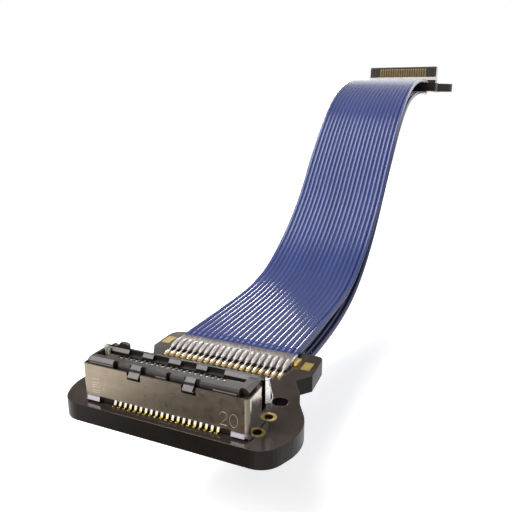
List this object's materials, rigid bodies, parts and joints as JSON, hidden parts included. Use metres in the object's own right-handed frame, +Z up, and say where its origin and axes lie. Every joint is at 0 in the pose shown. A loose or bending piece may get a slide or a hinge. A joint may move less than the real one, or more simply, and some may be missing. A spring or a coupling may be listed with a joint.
{
  "type": "ribbon cable assembly",
  "caption": "Two small circuit boards with board-to-board connectors, joined by a pair of flat coax wire ribbons that rise in an S from the near board to the far one.",
  "frame": {"origin": "on the underside of the near board, below the middle of its connector", "axes": "+X along the contact row, +Y from the near board to the far board, +Z up, away from the board's underside"},
  "size_m": [0.0213, 0.1021, 0.0335],
  "materials": {
    "board": "glossy dark solder mask on glass-epoxy board",
    "moulding": "satin black moulded plastic",
    "shell": "satin nickel-plated sheet metal",
    "plating_gold": "bright gold plating",
    "plating_silver": "bright tin plating",
    "ground_bar": "satin tinned bar",
    "wire_jacket": "glossy blue wire jacket"
  },
  "bodies": {
    "root": {"near_board": "board", "near_housing": "moulding", "near_shield": "shell", "near_latch": "plating_silver", "near_contact_01": "plating_gold", "near_contact_02": "plating_gold", "near_contact_03": "plating_gold", "near_contact_04": "plating_gold", "near_contact_05": "plating_gold", "near_contact_06": "plating_gold", "near_contact_07": "plating_gold", "near_contact_08": "plating_gold", "near_contact_09": "plating_gold", "near_contact_10": "plating_gold", "near_contact_11": "plating_gold", "near_contact_12": "plating_gold", "near_contact_13": "plating_gold", "near_contact_14": "plating_gold", "near_contact_15": "plating_gold", "near_contact_16": "plating_gold", "near_contact_17": "plating_gold", "near_contact_18": "plating_gold", "near_contact_19": "plating_gold", "near_contact_20": "plating_gold", "near_ground_bar_top": "ground_bar", "near_ground_bar_bottom": "ground_bar", "far_board": "board", "far_housing": "moulding", "far_tab_left": "plating_silver", "far_tab_right": "plating_silver", "far_contact_01": "plating_gold", "far_contact_02": "plating_gold", "far_contact_03": "plating_gold", "far_contact_04": "plating_gold", "far_contact_05": "plating_gold", "far_contact_06": "plating_gold", "far_contact_07": "plating_gold", "far_contact_08": "plating_gold", "far_contact_09": "plating_gold", "far_contact_10": "plating_gold", "far_contact_11": "plating_gold", "far_contact_12": "plating_gold", "far_contact_13": "plating_gold", "far_contact_14": "plating_gold", "far_contact_15": "plating_gold", "far_contact_16": "plating_gold", "far_contact_17": "plating_gold", "far_contact_18": "plating_gold", "far_contact_19": "plating_gold", "far_contact_20": "plating_gold", "far_ground_bar_top": "ground_bar", "far_ground_bar_bottom": "ground_bar", "top_ribbon": "wire_jacket", "bottom_ribbon": "wire_jacket"}
  },
  "joints": []
}
